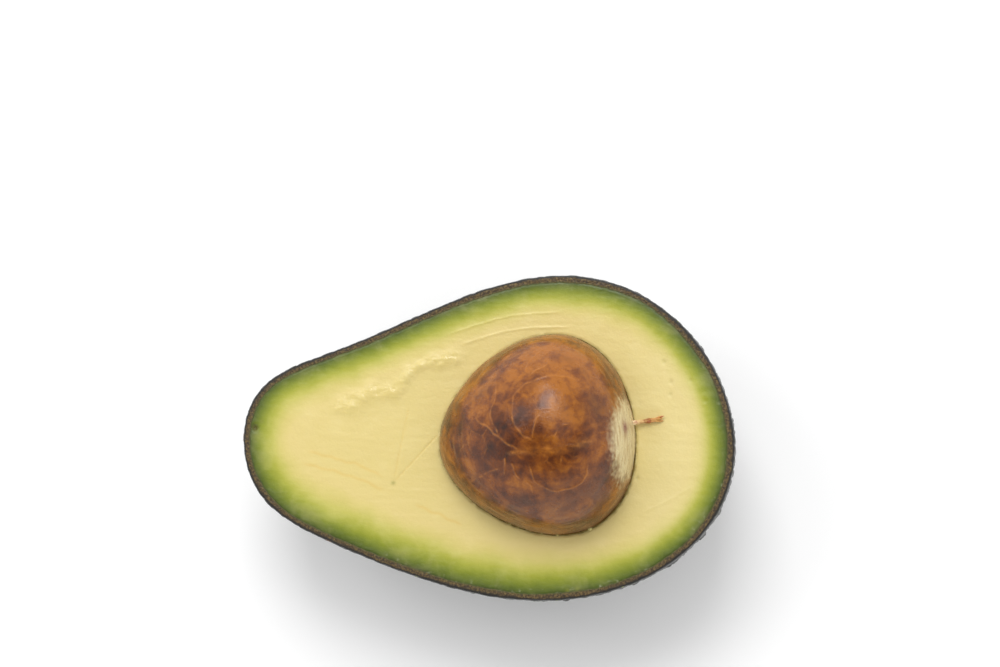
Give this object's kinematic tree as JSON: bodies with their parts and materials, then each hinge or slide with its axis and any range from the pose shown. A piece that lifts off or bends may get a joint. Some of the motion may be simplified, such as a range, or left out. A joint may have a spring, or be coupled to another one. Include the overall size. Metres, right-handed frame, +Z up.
{
  "type": "avocado half",
  "caption": "Avocado cut lengthways and lying on its back, cut face up, with the round brown seed still in its socket in the flesh.",
  "frame": {"origin": "middle of the underside: the centre of the bounding box, at the level of the flat spot it rests on", "axes": "+X from the narrow stem end to the broad end, +Y across the cut face, +Z up, square to the cut face"},
  "size_m": [0.1008, 0.0658, 0.0538],
  "materials": {
    "peel_skin": "pebbled, semi-gloss, green-black skin with a granular brown cut edge",
    "flesh_pulp": "moist, buttery yellow turning green towards the peel",
    "seed_coat": "smooth papery brown coat with fine veins, soft sheen",
    "strand_fibre": "fibrous, matt",
    "scar_cork": "rough cork, matt"
  },
  "bodies": {
    "root": {"peel": "peel_skin", "flesh": "flesh_pulp", "seed": "seed_coat", "seed_strand": "strand_fibre", "stem_scar": "scar_cork"}
  },
  "joints": []
}
